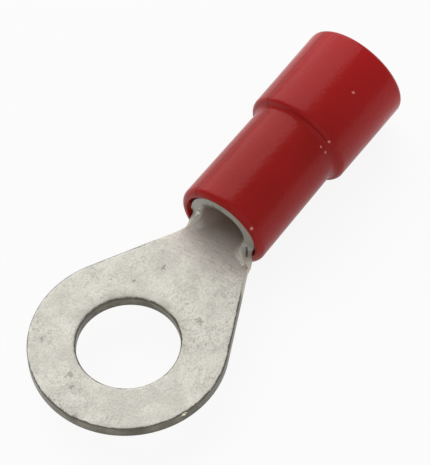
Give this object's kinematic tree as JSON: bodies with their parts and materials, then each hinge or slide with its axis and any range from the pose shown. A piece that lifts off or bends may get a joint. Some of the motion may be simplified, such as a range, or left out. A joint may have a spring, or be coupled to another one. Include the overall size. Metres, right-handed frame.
{
  "type": "insulated ring terminal",
  "caption": "Stamped ring tongue with a stud hole, formed into a rolled crimp barrel inside a stepped, moulded insulating sleeve.",
  "frame": {"origin": "centre of the stud hole, on the seating face of the ring tongue", "axes": "+Z along the stud, out of the upper face; +X from the ring towards the wire entry"},
  "size_m": [0.02, 0.0082, 0.0047],
  "materials": {
    "tin_plate": "matte tin plate over copper",
    "red_sleeve": "smooth moulded gloss"
  },
  "bodies": {
    "root": {"terminal": "tin_plate", "insulation_sleeve": "red_sleeve"}
  },
  "joints": []
}
